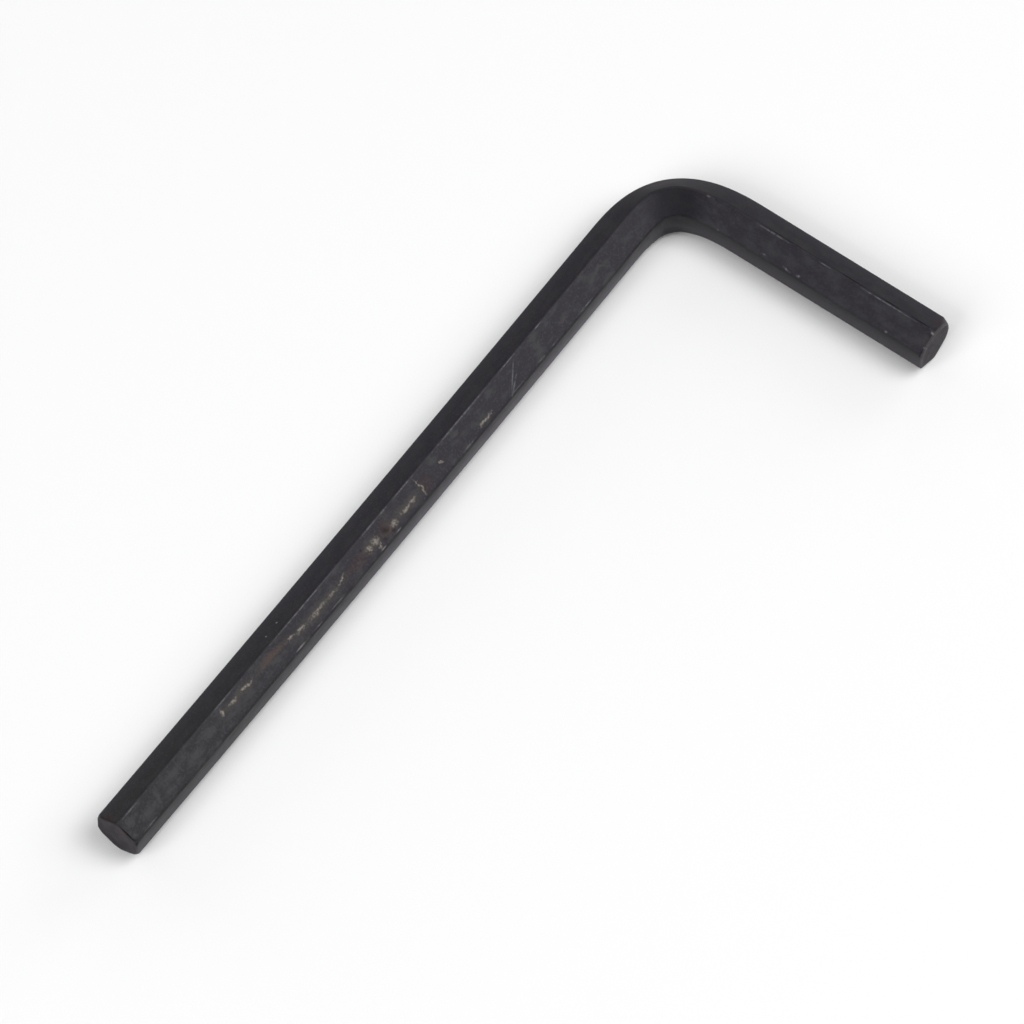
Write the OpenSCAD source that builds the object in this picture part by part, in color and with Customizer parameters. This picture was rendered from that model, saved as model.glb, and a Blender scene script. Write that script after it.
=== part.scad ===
// Hex key: one length of hexagonal tool-steel bar, cold bent into an L and bevelled at both tips.
// It lies as it comes to rest, with a corner of the hexagon down and two flats upright,
// the long arm along +X and the short arm along +Y. The origin is under the middle of its box.

/* [Bar] */
// Distance across two opposite flats, the size that the key is sold by
across_flats = 4; // [1.5:0.5:12]
// Distance across two opposite corners, which the drawing die leaves rounded, as a share of the flats
corner_ratio = 1.1325; // [1.1:0.0025:1.1525]

/* [Arms] */
// Length of the long arm, from its tip to the outer flat of the short arm
long_arm = 75; // [50:1:120]
// Length of the short arm, from its tip to the outer flat of the long arm
short_arm = 28; // [20:1:45]

/* [Bend] */
// Radius of the flat on the inside of the bend
inside_radius = 4.3; // [1:0.1:8]
// Angle that the bar is turned through, a little short of square
bend_angle = 88; // [60:0.5:90]

/* [Tips] */
// Length along the long arm of the bevel that breaks the corners of its tip
long_bevel_length = 0.3; // [0.1:0.05:1]
// Depth of that bevel, measured in from the corners
long_bevel_depth = 0.16; // [0.05:0.01:0.5]
// Length along the short arm of the bevel round its tip
short_bevel_length = 0.3; // [0.1:0.05:1]
// Depth of that bevel, measured in from the corners
short_bevel_depth = 0.55; // [0.05:0.01:0.6]

/* [Hidden] */
round_facets = 96;

across_corners = across_flats * corner_ratio;
bend_radius = inside_radius + across_flats / 2;

// The bend starts at x = 0 and ends where the short arm begins.
bend_end = [-bend_radius * sin(bend_angle), bend_radius * (1 - cos(bend_angle))];
// What the bend and half the bar take off each arm, out to the corner where the outer flats meet
bend_setback = (bend_radius + across_flats / 2) * tan(bend_angle / 2);
long_straight = long_arm - bend_setback;
short_straight = short_arm - bend_setback;
short_tip = bend_end + short_straight * [-cos(bend_angle), sin(bend_angle)];
short_face_radius = across_corners / 2 - short_bevel_depth;

// The plan box of the bent bar, which the origin is centred in
box_low = [short_tip[0] - across_flats / 2 * sin(bend_angle), -across_flats / 2];
box_high = [long_straight, short_tip[1] + short_face_radius * cos(bend_angle)];
box_middle = (box_low + box_high) / 2;

// Hexagon with its corners cut to a circle, a corner up and a flat to each side
module bar_section() {
    intersection() {
        rotate(30) circle(d = across_flats / cos(30), $fn = 6);
        circle(d = across_corners, $fn = round_facets);
    }
}

// Solid of revolution along +Z that ends in the bevel of a tip
module tip_envelope(length, bevel_length, bevel_depth) {
    reach = across_flats;
    bevel_slope = bevel_length / bevel_depth;
    face_radius = across_corners / 2 - bevel_depth;
    shoulder = length - (reach - face_radius) * bevel_slope;
    rotate_extrude($fn = round_facets)
        polygon([[0, 0], [reach, 0], [reach, shoulder], [face_radius, length], [0, length]]);
}

// Straight arm along +X from the origin, bevelled at its far end
module straight_arm(length, bevel_length, bevel_depth) {
    rotate([90, 0, 90])
        intersection() {
            linear_extrude(length) bar_section();
            tip_envelope(length, bevel_length, bevel_depth);
        }
}

// Curved length of bar that joins the two arms
module bend() {
    translate([0, bend_radius, 0])
        rotate([0, 0, -90 - bend_angle])
            rotate_extrude(angle = bend_angle, $fn = round_facets)
                translate([bend_radius, 0]) bar_section();
}

// The whole key: one bar, black oxide finish
module hex_bar() {
    color("#3c3b40")
        translate([-box_middle[0], -box_middle[1], across_corners / 2])
            union() {
                straight_arm(long_straight, long_bevel_length, long_bevel_depth);
                bend();
                translate([bend_end[0], bend_end[1], 0])
                    rotate([0, 0, 180 - bend_angle])
                        straight_arm(short_straight, short_bevel_length, short_bevel_depth);
            }
}

hex_bar();
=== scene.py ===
# %% [markdown]
# # A hex key
# A hex key is the simplest of hand tools: a length of hexagonal bar, bent once into an L.
# Everything that makes it look real is in two places. One is the form, where the hexagon has
# softened corners, the bend pulls the section out of shape and each tip has a small bevel. The
# other is the skin, a black oxide that is rubbed thin on the corners and has picked up marks.
# So this lesson makes one surface with care, and one material with care.

import math

import bpy
import numpy as np
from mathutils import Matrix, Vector


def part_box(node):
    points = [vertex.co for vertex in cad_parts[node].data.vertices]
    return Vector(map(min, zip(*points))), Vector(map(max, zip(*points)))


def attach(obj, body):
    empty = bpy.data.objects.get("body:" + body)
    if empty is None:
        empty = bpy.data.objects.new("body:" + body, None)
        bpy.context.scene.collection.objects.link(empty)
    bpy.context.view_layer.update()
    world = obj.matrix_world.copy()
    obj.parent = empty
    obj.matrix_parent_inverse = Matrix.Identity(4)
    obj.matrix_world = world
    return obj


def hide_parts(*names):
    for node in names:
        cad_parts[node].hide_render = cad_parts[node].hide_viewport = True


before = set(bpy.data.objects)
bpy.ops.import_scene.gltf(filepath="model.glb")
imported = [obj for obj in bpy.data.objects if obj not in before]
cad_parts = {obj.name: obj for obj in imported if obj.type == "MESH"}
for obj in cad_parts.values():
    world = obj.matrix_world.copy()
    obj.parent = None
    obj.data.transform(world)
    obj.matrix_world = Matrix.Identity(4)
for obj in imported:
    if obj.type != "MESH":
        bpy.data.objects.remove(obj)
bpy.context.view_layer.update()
MM = 0.001
bar_low, bar_high = (np.array(corner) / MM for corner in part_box("hex_bar"))
print("the key's box in mm:", bar_low.round(2), bar_high.round(2))

# %% [markdown]
# ## Lighting it as a small thing on a bright table
# A dark, satin object shows its faces by what they reflect, so the light is a tent: eight soft
# panels stand round the table, bright to the sides and dim behind. The tent is open where the
# lens looks in, so the upper faces reflect a dark gap and stay nearly black, while the upright
# faces pick up the panels. A long lens far away keeps the two arms in true proportion.

# %% Camera, lights and table
VIEW_AZIMUTH, VIEW_ELEVATION, VIEW_DISTANCE = 126.86, 63.77, 1.177
LENS_MM = 516.8
AIM = Vector((-4.5, -4.9, 0.0)) * MM


def towards(azimuth, elevation):
    """Unit vector from the table's middle to a place in the room, with both angles in degrees."""
    a, e = math.radians(azimuth), math.radians(elevation)
    return Vector((math.sin(a) * math.cos(e), -math.cos(a) * math.cos(e), math.sin(e)))


def put(name, data, azimuth, elevation, distance):
    """Stands a lamp or a camera at a distance from the aim, and turns its -Z axis to face it."""
    thing = bpy.data.objects.new(name, data)
    thing.location = AIM + towards(azimuth, elevation) * distance
    thing.rotation_euler = (AIM - thing.location).to_track_quat("-Z", "Y").to_euler()
    bpy.context.scene.collection.objects.link(thing)
    return thing


def soft_light(name, side, elevation, distance, size, watts):
    """A square soft light, placed by its angle round from the lens."""
    lamp = bpy.data.lights.new(name, "AREA")
    lamp.size = size
    lamp.energy = watts
    return put(name, lamp, VIEW_AZIMUTH + side, elevation, distance)


lens = bpy.data.cameras.new("camera")
lens.lens = LENS_MM
lens.clip_start, lens.clip_end = 0.01, 20
bpy.context.scene.camera = put("camera", lens, VIEW_AZIMUTH, VIEW_ELEVATION, VIEW_DISTANCE)
bpy.context.scene.view_settings.view_transform = "Standard"

PANEL_SIDE, PANEL_DISTANCE = 0.5, 0.9
ROOM_GLOW = 0.03
PANELS = {
    "right_high": (90, 65, 4.0), "right": (90, 40, 2.0), "right_back_low": (135, 15, 2.0),
    "left_high": (-45, 65, 1.5), "left": (-45, 40, 3.5), "left_back_low": (-135, 15, 1.0),
    "back_low": (180, 15, 1.0), "left_back_high": (-120, 65, 0.5),
}
for name, (side, elevation, watts) in PANELS.items():
    soft_light("panel_" + name, side, elevation, PANEL_DISTANCE, PANEL_SIDE, watts)

room = bpy.data.worlds.new("room")
bpy.context.scene.world = room
room.use_nodes = True
sky = room.node_tree.nodes["Background"]
sky.inputs["Color"].default_value = (1.0, 1.0, 1.0, 1.0)
sky.inputs["Strength"].default_value = ROOM_GLOW
print("panels:", len(PANELS), "with", sum(panel[2] for panel in PANELS.values()), "W in all")

# %% [markdown]
# ## Two small helpers for materials
# Colours are easiest to choose as the hex codes that a paint program shows. Those are sRGB, and
# Blender's shaders want linear light, so one function converts them. The other helper adds a
# node, applies its settings and fills its sockets in the order in which the node shows them.

# %% Helpers for materials


def linear(code):
    """sRGB hex code to linear RGBA: c / 12.92 in the darks, else ((c + 0.055) / 1.055) to 2.4."""
    c = np.array([int(code[i:i + 2], 16) for i in (1, 3, 5)]) / 255
    rgb = np.where(c <= 0.04045, c / 12.92, ((c + 0.055) / 1.055) ** 2.4)
    return (*rgb.tolist(), 1.0)


def add(tree, kind, *values, **settings):
    """Adds a node. A value that is an output is linked, any other is set. Gives the first output."""
    node = tree.nodes.new("ShaderNode" + kind)
    for name, value in settings.items():
        setattr(node, name, value)
    for socket, value in zip([s for s in node.inputs if s.enabled], values):
        if isinstance(value, bpy.types.NodeSocket):
            tree.links.new(value, socket)
        else:
            socket.default_value = value
    return next(output for output in node.outputs if output.enabled)


print("mid grey #808080 in linear light:", round(linear("#808080")[0], 3))

# %% [markdown]
# ## What it lies on
# The table is a plain matte white board, far wider than the view, so that no edge of it shows.

# %% Table top
TABLE_SIDE = 6.0


def white_board():
    """Matte white board: all diffuse, with no gloss."""
    made = bpy.data.materials.new("matte white board")
    made.use_nodes = True
    shader = made.node_tree.nodes["Principled BSDF"]
    shader.inputs["Base Color"].default_value = linear("#ededed")
    shader.inputs["Roughness"].default_value = 1.0
    shader.inputs["Specular IOR Level"].default_value = 0.0
    return made


half = TABLE_SIDE / 2
top = bpy.data.meshes.new("table_top")
corners = [(-half, -half, 0), (half, -half, 0), (half, half, 0), (-half, half, 0)]
top.from_pydata(corners, [], [(0, 1, 2, 3)])
top.materials.append(white_board())
table_top = bpy.data.objects.new("table_top", top)
bpy.context.scene.collection.objects.link(table_top)
print("table top:", TABLE_SIDE, "m square")

# %% [markdown]
# ## The line the bar follows
# A bent bar isn't two straight lines and a perfect arc. The bend tightens gradually, holds, and
# eases off again, more slowly on the short side, where the bar slid round the bending pin. The
# long arm keeps a faint bow the other way. All of that is one idea, curvature: adding it up along
# the bar gives the heading, and adding up the heading gives the place.

# %% Centre line from curvature
ACROSS_FLATS = 4.0
ACROSS_CORNERS = bar_high[2] - bar_low[2]
LONG_ARM, SHORT_ARM = 75.0, 28.0
TURN = math.radians(88.0)
BOW_RADIUS = 5000.0
EASE_IN, HOLD, EASE_OUT = 5.4, 1.8, 7.0
STEP = 0.02
FIRST_RUNS, PASSES = (60.0, 15.0), 4


def walk(long_run, short_run):
    """Curvature added up gives the heading, and the heading's cosine and sine added up, the place.

    Returns lengths from the long tip, places, headings and how far the bend has closed, 0 to 1.
    """
    bow = long_run / BOW_RADIUS
    peak = (TURN + bow / 2) / (EASE_IN / 2 + HOLD + EASE_OUT / 2)
    marks = np.cumsum([0.0, long_run, EASE_IN, HOLD, EASE_OUT, short_run])
    length = np.linspace(0, marks[-1], int(marks[-1] / STEP))
    grip = np.interp(length, marks, [0, 0, 1, 1, 0, 0])
    bend = grip * peak - np.where(length < long_run, 1 / BOW_RADIUS, 0)
    gaps = np.diff(length)
    heading = bow / 2 + np.append(0, np.cumsum((bend[1:] + bend[:-1]) / 2 * gaps))
    middle = (heading[1:] + heading[:-1]) / 2
    x = np.append(0, np.cumsum(-np.cos(middle) * gaps))
    y = np.append(0, np.cumsum(np.sin(middle) * gaps))
    return length, np.stack([x, y], 1), heading, grip


def arm_lengths(long_run, short_run):
    """Each arm from its tip to the outer flat of the other, where the two lines would cross."""
    _, place, heading, _ = walk(long_run, short_run)
    back = place[-1, 1] / math.sin(heading[-1])
    corner_x = place[-1, 0] + back * math.cos(heading[-1])
    cover = ACROSS_FLATS / 2 * math.tan(heading[-1] / 2)
    return -corner_x + cover, back + cover


runs = np.array(FIRST_RUNS)
for _ in range(PASSES):
    runs += np.array([LONG_ARM, SHORT_ARM]) - arm_lengths(*runs)
length, place, heading, grip = walk(*runs)
place += [bar_high[0], bar_low[1] + ACROSS_FLATS / 2]
inward = np.stack([np.sin(heading), np.cos(heading)], 1)
print("straight runs:", runs.round(2), "bar length:", length[-1].round(2), "ends at", place[-1].round(2))

# %% [markdown]
# ## The section
# The hexagon lies with a corner up, because that is how the bent bar comes to rest. The drawing
# die leaves its corners a little round, so it is a hexagon and a circle, whichever is nearer the
# middle, blended over a few hundredths of a millimetre. Points crowd together over each corner,
# because that is where the light catches.

# %% Section of the bar
CORNER_BLEND = 60.0
CORNER_DEGREES, CORNER_STEPS, FLAT_STEPS = 4.0, 4, 12


def angles_around():
    """Angles once round from the bottom corner, close together over each corner."""
    near = np.linspace(0, CORNER_DEGREES, CORNER_STEPS, endpoint=False)
    flat = np.linspace(CORNER_DEGREES, 60 - CORNER_DEGREES, FLAT_STEPS, endpoint=False)
    one = np.concatenate([near, flat, 60 - near[::-1] - CORNER_DEGREES / CORNER_STEPS])
    return np.radians(np.add.outer(60 * np.arange(6), one).ravel() - 90)


def section_radius(angle):
    """Smaller of hexagon and circle, blended: circle - log(1 + exp(k (circle - hexagon))) / k."""
    from_flat = np.mod(angle + math.pi / 6, math.pi / 3) - math.pi / 6
    hexagon = ACROSS_FLATS / 2 / np.cos(from_flat)
    circle = ACROSS_CORNERS / 2
    return circle - np.log1p(np.exp(CORNER_BLEND * (circle - hexagon))) / CORNER_BLEND


angle = angles_around()
radius = section_radius(angle)
print("section points:", len(angle), "radius", radius.min().round(3), "to", radius.max().round(3))

# %% [markdown]
# ## Carrying the section along the line
# In the bend the outside is stretched and the inside squeezed, so there the top and bottom
# corners shift outward and the inner flat spreads. Each corner gets its own shift, and the points
# between two corners follow in proportion, which keeps every face flat across. At the tips a cone
# limits the radius, for the bevel, and a tiny quarter round takes the edge off the rim.

# %% Sweep
TIP_ROUND = {"long": 0.12, "short": 0.10}
BEVEL_RUN = {"long": 0.30, "short": 0.32}
BEVEL_DEPTH = {"long": 0.16, "short": 0.20}
BEVEL_LEAN, LEAN_TOWARDS = {"long": 0.0, "short": 0.18}, math.radians(120)
TOP_SHIFT, INNER_SHIFT, OUTER_SHIFT = (-0.64, -0.08), (-0.37, 0.30), (0.0, 0.0)
SHIFT_POWER = 2.3
RING_GAP = 0.16
RIM_END, RIM_RINGS = 0.12, 7
BEVEL_START, BEVEL_STEP, TIP_FINE = 0.15, 0.04, 0.8


def bevel_limit(depth, end):
    """Radius inside the bevel's cone, ground off centre: R + d * (depth / run - 1) - lean * cos."""
    cone = ACROSS_CORNERS / 2 + BEVEL_DEPTH[end] * (depth / BEVEL_RUN[end] - 1)
    return cone[:, None] - BEVEL_LEAN[end] * np.cos(angle - LEAN_TOWARDS)


def rim_inset(depth, end):
    """Quarter round of radius r at the rim: r - sqrt(r^2 - (r - depth)^2), and nothing past it."""
    r = TIP_ROUND[end]
    short = np.clip(r - depth, 0, r)
    return r - np.sqrt(r * r - short * short)


def stations():
    """Distances from the long tip: fine at both tips, even between."""
    end = length[-1]
    rim = np.linspace(0, RIM_END, RIM_RINGS)
    fine = np.concatenate([rim, np.arange(BEVEL_START, TIP_FINE, BEVEL_STEP)])
    even = np.linspace(TIP_FINE, end - TIP_FINE, int((end - 2 * TIP_FINE) / RING_GAP))
    return np.concatenate([fine, even, end - fine[::-1]])


def corner_shift(angle):
    """How the bend moves each of the six corners, and in proportion the points between them."""
    corners = np.radians([-90, -30, 30, 90, 150, 210, 270])
    (top_in, top_up), (inner_in, inner_up), (outer_in, outer_up) = TOP_SHIFT, INNER_SHIFT, OUTER_SHIFT
    across = [top_in, inner_in, inner_in, top_in, outer_in, outer_in, top_in]
    up = [-top_up, -inner_up, inner_up, top_up, outer_up, -outer_up, -top_up]
    return np.interp(angle, corners, across), np.interp(angle, corners, up)


def sweep(at):
    """Point = centre line + inward normal * across + up * height, on a grid of stations and angles."""
    centre = np.stack([np.interp(at, length, place[:, k]) for k in (0, 1)], 1)
    normal = np.stack([np.interp(at, length, inward[:, k]) for k in (0, 1)], 1)
    closed = np.interp(at, length, grip)[:, None] ** SHIFT_POWER
    limit = np.minimum(bevel_limit(at, "long"), bevel_limit(length[-1] - at, "short"))
    inset = rim_inset(at, "long") + rim_inset(length[-1] - at, "short")
    r = np.minimum(radius, limit) - inset[:, None]
    shift_across, shift_up = corner_shift(angle)
    across = r * np.cos(angle) + closed * shift_across
    height = r * np.sin(angle) + closed * shift_up + ACROSS_CORNERS / 2
    flat = centre[:, None] + normal[:, None] * across[..., None]
    return np.concatenate([flat, height[..., None]], 2)


at = stations()
grid = sweep(at)
print("rings:", len(at), "grid points:", grid.shape[0] * grid.shape[1])

# %% [markdown]
# ## Closing the tips
# Each tip is closed by rings that shrink to one point in the middle. Every corner of every face
# also gets a place on a map in mm, along the bar and around it, which the material reads later.

# %% Close both tips and make the mesh
CAP_STEPS = 6


def shrink(ring):
    """Rings from a tip's rim almost to its middle, and how far in from the rim each one lies."""
    middle = ring.mean(0)
    share = np.arange(1, CAP_STEPS) / CAP_STEPS
    return middle, ring + (middle - ring) * share[:, None, None], share * ACROSS_FLATS / 2


def around_mm():
    """Distance around the section from the top corner, positive down the inner side."""
    closed = np.append(angle, math.pi * 1.5)
    spots = np.stack([np.append(radius, radius[0]) * f(closed) for f in (np.cos, np.sin)], 1)
    walked = np.append(0, np.cumsum(np.hypot(*np.diff(spots, axis=0).T)))
    return np.interp(math.pi / 2, closed, walked) - walked


def face_list(count, n):
    """Quads between the rings, then a fan of triangles round the middle point of each tip."""
    i, j = np.meshgrid(np.arange(count - 1), np.arange(n), indexing="ij")
    here, beside = i * n + j, i * n + (j + 1) % n
    quads = np.stack([here, beside, beside + n, here + n], -1).reshape(-1, 4)
    rim, pole, last_ring = np.arange(n), count * n, (count - 1) * n
    onward = (rim + 1) % n
    fan_first = np.stack([np.full(n, pole), onward, rim], 1)
    fan_last = np.stack([np.full(n, pole + 1), rim + last_ring, onward + last_ring], 1)
    return quads.tolist() + fan_first.tolist() + fan_last.tolist()


def face_map(along, n):
    """Map coordinate in mm of each corner of each face, in the order of the faces."""
    v = around_mm()
    i, j = np.meshgrid(np.arange(len(along) - 1), np.arange(n), indexing="ij")
    quad_u = np.stack([along[i], along[i], along[i + 1], along[i + 1]], -1).ravel()
    quad_v = np.stack([v[j], v[j + 1], v[j + 1], v[j]], -1).ravel()
    to_middle = ACROSS_FLATS / 2
    first_u = np.tile([-to_middle, along[0], along[0]], n)
    last_u = np.tile([length[-1] + to_middle, along[-1], along[-1]], n)
    first_v = np.stack([v[:-1], v[1:], v[:-1]], 1).ravel()
    last_v = np.stack([v[:-1], v[:-1], v[1:]], 1).ravel()
    u = np.concatenate([quad_u, first_u, last_u])
    return np.stack([u, np.concatenate([quad_v, first_v, last_v])], 1)


def skin(grid):
    """All points, all faces and a map coordinate in mm for each face corner, tips included."""
    first, first_rings, first_in = shrink(grid[0])
    last, last_rings, last_in = shrink(grid[-1])
    rings = np.concatenate([first_rings[::-1], grid, last_rings])
    along = np.concatenate([-first_in[::-1], at, length[-1] + last_in])
    count, n = rings.shape[:2]
    points = np.concatenate([rings.reshape(-1, 3), [first, last]])
    return points, face_list(count, n), face_map(along, n)


points, faces, bar_mm = skin(grid)
mesh = bpy.data.meshes.new("hex_key_bar")
mesh.from_pydata((points * MM).tolist(), [], faces)
mesh.polygons.foreach_set("use_smooth", np.ones(len(mesh.polygons), bool))
mesh.uv_layers.new(name="bar_mm").data.foreach_set("uv", bar_mm.astype(np.float32).ravel())
mesh.update()
print("faces:", len(mesh.polygons), "map from", bar_mm.min(0).round(2), "to", bar_mm.max(0).round(2))

# %% [markdown]
# ## Black oxide
# The bar is hardened tool steel, blackened in a hot salt bath and oiled. That grows a film of
# magnetite a micron or two thick. It is so dark that the diffuse colour hardly matters, and the
# oiled film gives a soft dielectric gloss, not a metal's mirror: metallic stays 0. What makes it
# believable is what breaks the film. It is rubbed through on the corners, and it holds dried
# flux, old grease and a bloom of rust. All of those have a place on the bar, so the material
# reads the bar's own map: the first number is mm from the long tip, the second is mm around from
# the top corner. Each mark is a soft oval put down at such a place, and noise tears its edge.

# %% Helpers for marks
FACE = ACROSS_FLATS / math.sqrt(3)
SMOOTH = {"interpolation_type": "SMOOTHSTEP"}


def marks(tree, where, places):
    """Each mark is 1 at its middle and falls evenly to 0 at its oval edge. The strongest one wins."""
    strongest = 0.0
    for along, around, long, wide, turn in places:
        spot = add(tree, "Mapping", where, (along, around, 0), (0, 0, math.radians(turn)),
                   (long / 2, wide / 2, 1), vector_type="TEXTURE")
        mask = add(tree, "TexGradient", spot, gradient_type="SPHERICAL")
        strongest = add(tree, "Math", mask, strongest, operation="MAXIMUM")
    return strongest


def torn(tree, where, places, tear, depth, low, high):
    """Marks with a broken edge: marks * (1 + depth * (noise - 1/2)), then a smooth step up."""
    rough = add(tree, "Math", tear, depth, 1 - depth / 2, operation="MULTIPLY_ADD")
    broken = add(tree, "Math", rough, marks(tree, where, places), operation="MULTIPLY")
    return add(tree, "MapRange", broken, low, high, **SMOOTH)


print("width of one face:", round(FACE, 2), "mm")

# %% [markdown]
# ## Where the marks are
# Each mark is five numbers: mm along the bar from the long tip, mm around it from the top corner,
# length, width, and degrees of turn. Around, 0 to 2.3 is the uppermost inner face, above 2.3 is
# the upright inner face, and below 0 is the outer side. Most marks lie on the upper inner face.

# %% Lists of marks
CREAM = [
    (12.9, 0.75, 0.5, 1.1, 15), (14.2, 0.70, 1.4, 0.5, 0), (15.8, 0.75, 2.2, 0.4, 0),
    (21.4, 1.00, 1.8, 0.4, 12), (22.7, 1.22, 2.0, 0.5, 0), (24.7, 1.24, 3.2, 0.5, 0),
    (26.6, 1.34, 2.4, 0.4, 0), (28.0, 1.05, 1.4, 0.3, -25), (31.5, 1.34, 0.9, 0.7, 0),
    (32.3, 1.16, 1.1, 1.0, 0), (32.4, 1.72, 0.4, 1.3, 20), (34.6, 1.42, 1.2, 0.8, 10),
    (36.1, 1.45, 2.2, 0.5, 0), (37.0, 1.42, 1.2, 0.6, 0), (38.35, 1.20, 0.3, 2.4, 0),
    (41.2, 1.15, 0.9, 0.4, 25), (46.4, 1.70, 2.6, 0.4, 0),
]
GREASE = [
    (14.8, 0.80, 7.5, 1.4, 0), (19.0, 0.78, 6.0, 1.1, 0), (25.0, 1.25, 11.0, 1.4, 0),
    (36.3, 1.35, 6.0, 1.4, 0), (34.0, 1.30, 3.2, 1.5, 0), (32.0, 1.20, 2.6, 1.8, 0),
]
SMUDGE = [
    (4.1, 1.10, 0.7, 2.4, 20), (0.9, 0.70, 1.4, 1.2, 0), (6.3, 0.85, 3.4, 1.2, 0),
    (2.6, 1.30, 2.6, 1.2, 0), (8.9, 1.30, 3.0, 1.2, 0), (0.4, 1.75, 0.7, 0.7, 0),
    (10.9, 0.90, 2.4, 1.2, 0), (5.2, 1.60, 2.0, 0.7, 0), (54.0, 1.00, 1.4, 0.6, 0),
    (57.2, 1.40, 1.6, 0.5, 0), (62.4, 0.90, 2.6, 0.5, 0),
    (43.6, 0.60, 1.6, 0.6, 0), (-0.4, 1.60, 1.0, 1.2, 0), (98.0, 1.00, 1.2, 0.7, 40),
]
RUST = [
    (19.4, 0.75, 5.0, 1.0, 0), (30.0, 1.25, 4.4, 1.5, 0), (38.8, 1.35, 1.8, 2.2, 0),
    (33.6, 1.15, 2.4, 2.1, 0), (73.0, -0.15, 6.0, 0.6, 0), (-0.3, 0.95, 0.9, 1.6, 0),
    # The first mark on the next line darkens the long tip's bevel on the outer side.
    (0.3, -1.10, 1.4, 2.2, 0), (96.2, -1.10, 1.8, 1.8, 0), (70.5, -1.60, 5.0, 0.8, 0),
]
PIT = [
    (33.6, 1.15, 1.2, 1.2, 0), (34.1, 1.75, 0.6, 0.6, 0), (30.9, 0.80, 0.5, 0.4, 0),
    # The first mark on the next line darkens the long tip's bevel on the outer side.
    (0.08, -1.30, 0.7, 3.2, 0), (33.0, 1.75, 0.5, 0.4, 0),
]
# Lines at about 0.1 and 2.1 around follow the corners and are partly wear, partly a painted highlight;
# the slanting ones are scratches.
SCRATCHES_AND_RIDGE_SHINE = [
    (13.6, 0.08, 3.6, 0.20, 0), (24.0, 0.08, 12.0, 0.20, 0), (32.9, 0.08, 3.2, 0.26, 0),
    (34.6, 0.08, 1.6, 0.26, 0), (37.2, 0.08, 4.0, 0.22, 0), (45.0, 0.08, 10.0, 0.24, 0),
    (51.2, 0.08, 3.4, 0.18, 0), (55.2, 0.08, 1.6, 0.20, 0), (2.0, 2.12, 2.4, 0.18, 0),
    (23.8, 2.12, 1.6, 0.20, 0), (26.4, 2.10, 3.2, 0.18, 0), (1.6, 0.10, 2.6, 0.24, 0),
    (43.8, 2.08, 2.6, 0.22, 0), (50.4, 2.10, 2.8, 0.18, 0), (53.4, 2.10, 1.6, 0.18, 0),
    (55.4, 2.08, 1.8, 0.18, 0), (59.4, 2.10, 3.2, 0.18, 0), (80.8, 0.10, 4.6, 0.22, 0),
    (85.9, 0.10, 1.8, 0.18, 0), (92.0, 0.12, 9.0, 0.18, 0), (50.6, 1.20, 3.8, 0.22, -38),
    (50.2, 1.75, 3.0, 0.22, -30), (76.5, 2.22, 0.4, 0.30, 0), (83.3, 2.05, 1.2, 0.30, 15),
    (84.4, 2.00, 0.6, 0.30, -20), (93.0, 2.12, 0.4, 0.32, 0), (81.0, 1.95, 0.7, 0.24, 0),
    (74.6, 0.10, 0.6, 0.30, 0), (96.6, 1.60, 0.9, 0.26, 0),
]
SPECKS = [
    (20.3, -0.82, 0.3, 0.28, 0), (21.8, -0.92, 0.3, 0.28, 0), (96.36, 0.20, 0.5, 0.45, 0),
    (21.5, 2.12, 1.8, 0.26, 0), (32.4, 2.12, 1.2, 0.26, 0), (34.4, 2.10, 1.0, 0.24, 0),
]
# Two places inside the bend, painted near black as painted shade.
BEND_SHADE_PLACES = [(71.9, 1.50, 7.6, 6.4, 0), (71.2, 4.30, 5.6, 2.4, 0)]
# Grooves are dipped by the bump, and their near-black colour is painted shade.
GROOVE = [
    (88.5, -0.10, 5.0, 0.28, 0), (92.2, -0.10, 3.4, 0.30, 0), (95.2, -0.08, 2.6, 0.30, 0),
    # The last mark on the next line darkens the long tip's rim on the upper inner face.
    (82.0, -0.12, 8.0, 0.20, 0), (0.05, 1.25, 0.22, 2.4, 0),
]


print("marks:", sum(map(len, (CREAM, GREASE, SMUDGE, RUST, PIT, SCRATCHES_AND_RIDGE_SHINE, SPECKS, GROOVE, BEND_SHADE_PLACES))))

# %% [markdown]
# ## Noises with real sizes
# A map in mm makes scale easy: a noise's scale is simply its number of blotches to a millimetre.
# Bar is drawn through a die, so what is left of its scratches runs along it, and a stretch below
# 1 draws a noise out that way. The finest ones are coarser than real oxide grain, which would be
# too small to see.

# %% Noises, as blotches to a mm, detail, roughness, stretch
GRAINS = {
    "drift": (1.3, 3.0, 0.5, (1, 1, 1)), "tear": (5.0, 3.0, 0.5, (1, 1, 1)),
    "break_up": (2.4, 4.0, 0.7, (1, 0.5, 1)), "patches": (0.22, 2.0, 0.5, (0.5, 1, 1)),
    "mottle": (1.1, 4.0, 0.6, (0.6, 1, 1)), "speckle": (5.0, 2.0, 0.5, (1, 1, 1)),
    "draw_lines": (6.0, 2.0, 0.5, (0.06, 1, 1)), "rubbed": (1.6, 4.0, 0.5, (0.6, 0.2, 1)),
}
DRIFT_MM = (1.0, 0.7, 0.0)


def grains(tree, mm):
    """All the noises by name, and the map pushed about by drift: mm + (noise - 1/2) * reach."""
    noise = {}
    for name, (per_mm, detail, roughness, stretch) in GRAINS.items():
        drawn = add(tree, "Mapping", mm, (0, 0, 0), (0, 0, 0), stretch)
        noise[name] = add(tree, "TexNoise", drawn, per_mm, detail, roughness)
    drift = noise["drift"].node.outputs["Color"]
    push = add(tree, "VectorMath", drift, (0.5, 0.5, 0.5), operation="SUBTRACT")
    reach = add(tree, "VectorMath", push, DRIFT_MM, operation="MULTIPLY")
    return noise, add(tree, "VectorMath", mm, reach, operation="ADD")


print("noises:", ", ".join(GRAINS))
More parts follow.
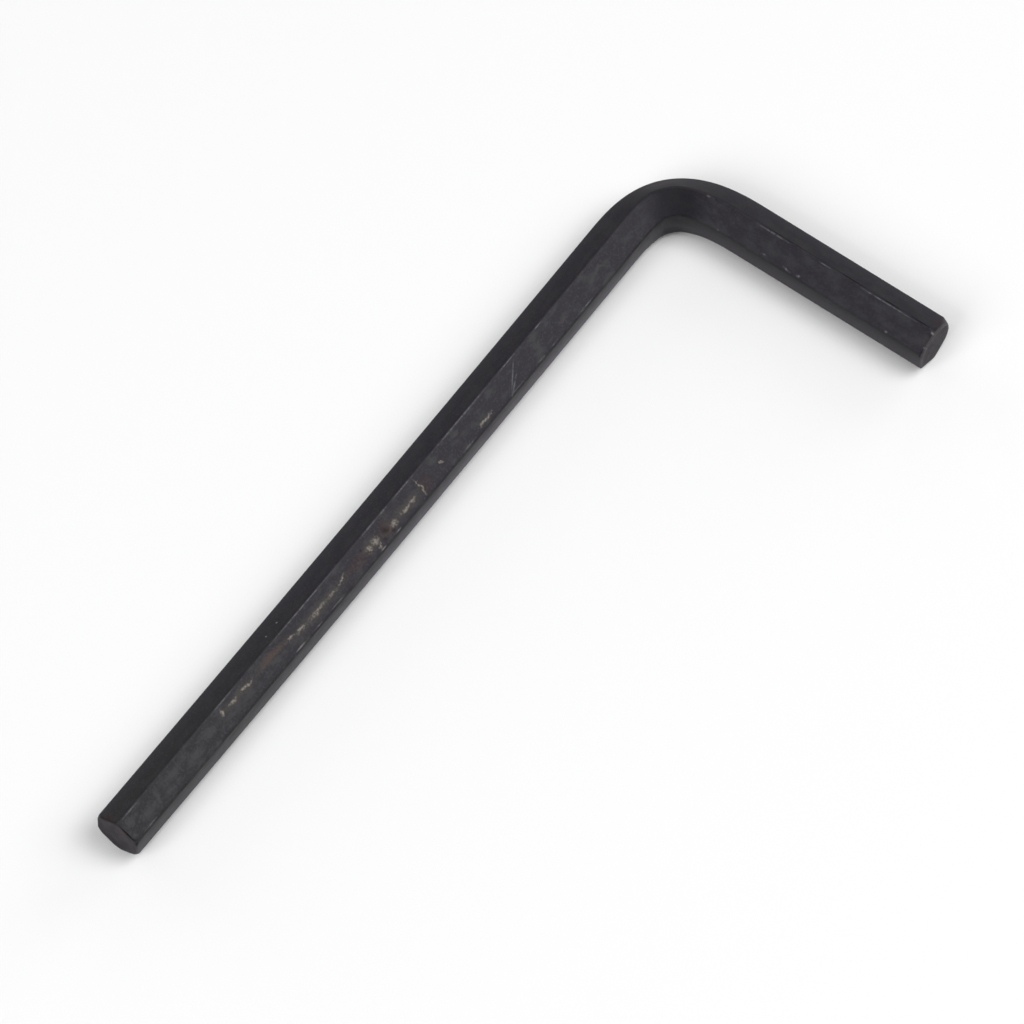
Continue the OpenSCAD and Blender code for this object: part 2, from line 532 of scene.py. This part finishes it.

# %% [markdown]
# ## The film's tone, with painted sheen, shade and reflection
# Heat and salts never blacken a bar quite evenly. The long tip is a neutral black, and the rest
# has the faint violet of a thicker film. The face that lies uppermost on the long arm is painted
# paler, a painted sheen for the light it reflects. The inside of the bend and the upright inner
# face under its upper corner are painted deep black as painted shade, and lower down that face
# is painted lighter as a painted reflection of the table. Each of these is a mask and a colour,
# laid one over another.

# %% Tone of the film, with painted sheen, shade and reflection
NEUTRAL, VIOLET = "#181919", "#19171c"
# On the next line the first three colours paint the long arm's upper face paler, a painted sheen, and
# the last is a painted reflection of the table.
PAINTED_SHEEN, PAINTED_SHEEN_VIOLET, MOTTLED_SHEEN, TABLE_REFLECTION = "#272827", "#29272b", "#3d3d3e", "#524e56"
# The last colour on the next line is near black, for painted shade.
OUTER_FILM, THIN_FILM, SPECKLE, PAINTED_SHADE_BLACK = "#27262b", "#2d2c2e", "#3a393b", "#070709"


def layered(tree, colour, layers):
    """Lays colours over one another, each where its mask says so."""
    for mask, over in layers:
        over = linear(over) if isinstance(over, str) else over
        colour = add(tree, "Mix", mask, colour, over, data_type="RGBA")
    return colour


def product(tree, first, *others):
    """Several masks multiplied together."""
    for other in others:
        first = add(tree, "Math", first, other, operation="MULTIPLY")
    return first


def upper_face_sheen(tree, along, around):
    """Mask of the painted sheen on the uppermost inner face, which ends before the bend."""
    upper = add(tree, "Math", around, FACE / 2, FACE / 2 - 0.05, operation="COMPARE")
    before_bend = add(tree, "MapRange", along, 66, 70, 0.75, 0, **SMOOTH)
    return product(tree, upper, before_bend)


def inner_side(tree, along, around):
    """Masks of the inner side: painted shade under its upper corner, and a painted reflection of the
    table lower down.
    """
    inner = add(tree, "Math", around, FACE * 1.5, FACE / 2, operation="COMPARE")
    # The upright inner face is painted near black under its upper corner: painted shade.
    under_corner = add(tree, "MapRange", around, FACE, FACE * 1.6, 0.8, 0, **SMOOTH)
    # The upright inner face is painted lighter towards its lower edge, most on the long arm: a painted
    # reflection of the table.
    lower = add(tree, "MapRange", around, FACE * 1.05, FACE * 1.95, **SMOOTH)
    long_arm = add(tree, "MapRange", along, 64, 69, 1.0, 0.35, **SMOOTH)
    past_tip = add(tree, "MapRange", along, 12, 45, 0.3, 0.9, **SMOOTH)
    return product(tree, inner, under_corner), product(tree, lower, long_arm, past_tip)


def film_tone_and_painted_light(tree, mm, along, around, noise):
    """Colour of the film before any mark, with its painted sheen, shade and reflection, from the place
    on the bar and the noises.
    """
    shifted = add(tree, "Math", noise["patches"], 30.0, along, operation="MULTIPLY_ADD")
    violet = add(tree, "MapRange", shifted, 20, 45, **SMOOTH)
    film = layered(tree, linear(NEUTRAL), [(violet, VIOLET)])
    # The long arm's uppermost face is painted paler: a painted sheen for the light it reflects, with
    # paler mottle in it.
    sheen_tone = layered(tree, linear(PAINTED_SHEEN), [(violet, PAINTED_SHEEN_VIOLET)])
    sheen = upper_face_sheen(tree, along, around)
    outer = add(tree, "MapRange", around, -FACE, -FACE * 0.4, 0.8, 0, **SMOOTH)

    thin = add(tree, "MapRange", noise["mottle"], 0.38, 0.68, **SMOOTH)
    thin_share = add(tree, "MapRange", around, -0.1, 0.1, 0.4, 1, **SMOOTH)
    thick = add(tree, "MapRange", noise["mottle"], 0.48, 0.72, **SMOOTH)
    spotted = add(tree, "MapRange", noise["speckle"], 0.50, 0.75, **SMOOTH)
    spot_share = add(tree, "MapRange", around, -0.1, 0.1, 0.3, 0.8, **SMOOTH)
    spots_along = add(tree, "MapRange", along, 62, 72, 1.0, 0.4, **SMOOTH)

    shaded, painted_reflection = inner_side(tree, along, around)
    # The inside of the bend is painted near black: painted shade.
    bend_shade = add(tree, "MapRange", marks(tree, mm, BEND_SHADE_PLACES), 0, 0.7, 0, 0.75, **SMOOTH)
    return layered(tree, film, [
        (sheen, sheen_tone),
        (outer, OUTER_FILM),
        (product(tree, thin, thin_share), THIN_FILM),
        (product(tree, thick, sheen), MOTTLED_SHEEN),
        (product(tree, spotted, spot_share, spots_along), SPECKLE),
        (shaded, PAINTED_SHADE_BLACK),
        (painted_reflection, TABLE_REFLECTION),
        (bend_shade, PAINTED_SHADE_BLACK),
    ])


print("film from", NEUTRAL, "to", MOTTLED_SHEEN)

# %% [markdown]
# ## Wear, dirt, painted highlights and painted shade over the film
# Corners lose their oxide first, in a narrow band that is a little paler. The light lines along
# the ridges are partly such wear and partly a painted highlight of the rounded corners. The tips
# were sawn, so they are duller and more violet, and the short one has a rubbed rim. Over those
# come the torn marks. Old flux is cream and stands proud, so it is also duller and raised. Rust is
# only a bloom here: it warms the film under it. Grooves are dipped by the bump and painted near
# black, as painted shade. Marks that follow a corner stay straight, so they use the plain map, and
# the others use the one that drift has pushed about.

# %% Masks of the tips and the marks


def tips(tree, along, noise):
    """Masks of the sawn end faces, their paler blotches and the short tip's worn rim."""
    half_bar = float(length[-1]) / 2
    from_half = add(tree, "Math", along, half_bar, operation="SUBTRACT")
    distance = add(tree, "Math", from_half, operation="ABSOLUTE")
    sawn = add(tree, "MapRange", distance, half_bar - 0.02, half_bar + 0.06, **SMOOTH)
    rim = add(tree, "Math", from_half, half_bar + 0.02, 0.16, operation="COMPARE")
    patchy = add(tree, "MapRange", noise["rubbed"], 0.35, 0.60, 0.2, 0.9, **SMOOTH)
    return sawn, product(tree, sawn, patchy), product(tree, rim, patchy)


def torn_marks(tree, mm, ragged, noise):
    """Mask of each kind of mark, by name."""
    tear, break_up = noise["tear"], noise["break_up"]
    return {
        "grease": torn(tree, ragged, GREASE, tear, 2.0, 0.0, 0.9),
        "smudge": torn(tree, ragged, SMUDGE, tear, 2.0, 0.0, 0.9),
        "rust": torn(tree, ragged, RUST, tear, 2.0, 0.0, 0.9),
        "cream": torn(tree, ragged, CREAM, tear, 3.8, 0.05, 1.3),
        "pit": torn(tree, ragged, PIT, tear, 2.0, 0.1, 0.8),
        "scratch_and_shine": torn(tree, mm, SCRATCHES_AND_RIDGE_SHINE, break_up, 4.5, 0.05, 1.1),
        "speck": torn(tree, mm, SPECKS, break_up, 1.5, 0.15, 1.0),
        "groove": torn(tree, mm, GROOVE, tear, 2.0, 0.05, 0.8),
    }


print("the sawn faces lie", round(float(length[-1]) / 2, 2), "mm from the middle of the bar")

# %% Colour, dullness and relief
SAWN, WORN, WORN_RIM, GREASY, SMUDGED = "#2b272b", "#39383a", "#454243", "#3c3a37", "#393839"
# The first colour on the next line serves scratches and the painted highlight along the ridges; the last
# is painted shade for the grooves.
SCRATCH_AND_SHINE_GREY, CHIPPED, PITTED, FLUX, GROOVE_SHADE = "#545356", "#6f6d6c", "#211917", "#817b72", "#0a0a0c"
BLOTCHED = "#3a373b"
RUST_WARMTH = (1.35, 1.03, 0.92, 1.0)
POLISH = (0.41, 0.51)
BUMP_MM, BUMP_STRENGTH = 0.02, 0.35


def marked_colour(tree, film, mark, worn, tip_masks):
    """The film's colour with dirt, sawn tips, rust, wear and marks laid over it in turn, among them a
    painted highlight along the ridges and painted shade in the grooves.
    """
    sawn, blotched, worn_rim = tip_masks
    dirty = layered(tree, film, [
        (mark["grease"], GREASY), (mark["smudge"], SMUDGED), (sawn, SAWN), (blotched, BLOTCHED),
    ])
    warmed = add(tree, "Mix", 1.0, dirty, RUST_WARMTH, data_type="RGBA", blend_type="MULTIPLY")
    return layered(tree, dirty, [
        (mark["rust"], warmed), (worn, WORN), (worn_rim, WORN_RIM), (mark["scratch_and_shine"], SCRATCH_AND_SHINE_GREY),
        (mark["speck"], CHIPPED), (mark["pit"], PITTED), (mark["cream"], FLUX),
        # near black in the grooves: painted shade
        (mark["groove"], GROOVE_SHADE),
    ])


def dullness(tree, noise, cream, sawn):
    """Roughness: polish from the mottle, + 0.3 where there is flux, + 0.2 on the sawn faces."""
    polish = add(tree, "MapRange", noise["mottle"], 0.3, 0.7, *POLISH, **SMOOTH)
    dull = add(tree, "Math", cream, 0.3, polish, operation="MULTIPLY_ADD")
    return add(tree, "Math", sawn, 0.2, dull, operation="MULTIPLY_ADD")


def relief(tree, noise, cream, groove):
    """Height = draw lines / 2 + speckle + flux - 2 * groove, as a bump of BUMP_MM."""
    height = add(tree, "Math", noise["draw_lines"], 0.5, noise["speckle"], operation="MULTIPLY_ADD")
    height = add(tree, "Math", height, cream, operation="ADD")
    height = add(tree, "Math", groove, -2.0, height, operation="MULTIPLY_ADD")
    bump = add(tree, "Bump").node
    bump.inputs["Strength"].default_value = BUMP_STRENGTH
    bump.inputs["Distance"].default_value = BUMP_MM * MM
    tree.links.new(height, bump.inputs["Height"])
    return bump.outputs[0]


print("roughness of the film:", POLISH, "and relief of", BUMP_MM, "mm")

# %% [markdown]
# ## The finished surface
# What holds all over is set on the shader's own sockets: how strongly the oil film mirrors, and
# the faint violet of that mirroring. What changes from place to place comes in by three links.

# %% Black oxide
OIL_IOR, GLOSS, GLOSS_TINT = 1.5, 0.16, (0.90, 0.86, 1.0, 1.0)


def black_oxide():
    """Black oxide on tool steel: near-black film, oiled, worn on the corners, with old residue."""
    made = bpy.data.materials.new("black oxide on tool steel, oiled")
    made.use_nodes = True
    tree = made.node_tree
    shader = tree.nodes["Principled BSDF"]
    shader.inputs["IOR"].default_value = OIL_IOR
    shader.inputs["Specular IOR Level"].default_value = GLOSS
    shader.inputs["Specular Tint"].default_value = GLOSS_TINT
    mm = add(tree, "UVMap", uv_map="bar_mm")
    along = add(tree, "SeparateXYZ", mm)
    around = along.node.outputs[1]
    noise, ragged = grains(tree, mm)

    # The film's colour here carries the painted sheen, painted shade and painted reflection.
    film = film_tone_and_painted_light(tree, mm, along, around, noise)
    mark = torn_marks(tree, mm, ragged, noise)
    from_corner = add(tree, "Math", around, FACE / 2, operation="PINGPONG")
    worn = add(tree, "MapRange", from_corner, 0.03, 0.13, 0.35, 0, **SMOOTH)
    tip_masks = tips(tree, along, noise)
    colour = marked_colour(tree, film, mark, worn, tip_masks)

    tree.links.new(colour, shader.inputs["Base Color"])
    tree.links.new(dullness(tree, noise, mark["cream"], tip_masks[0]), shader.inputs["Roughness"])
    tree.links.new(relief(tree, noise, mark["cream"], mark["groove"]), shader.inputs["Normal"])
    return made


oxide = black_oxide()
print("nodes in the film:", len(oxide.node_tree.nodes))

# %% [markdown]
# ## One piece
# The key is a single length of bar, so it is one object. It rides on the only body, and the CAD
# solid hex_bar, which it stands in for, is hidden.

# %% Put the bar in the scene
mesh.materials.append(oxide)
bar = bpy.data.objects.new("hex_key_bar", mesh)
bpy.context.scene.collection.objects.link(bar)
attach(bar, "root")
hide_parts("hex_bar")
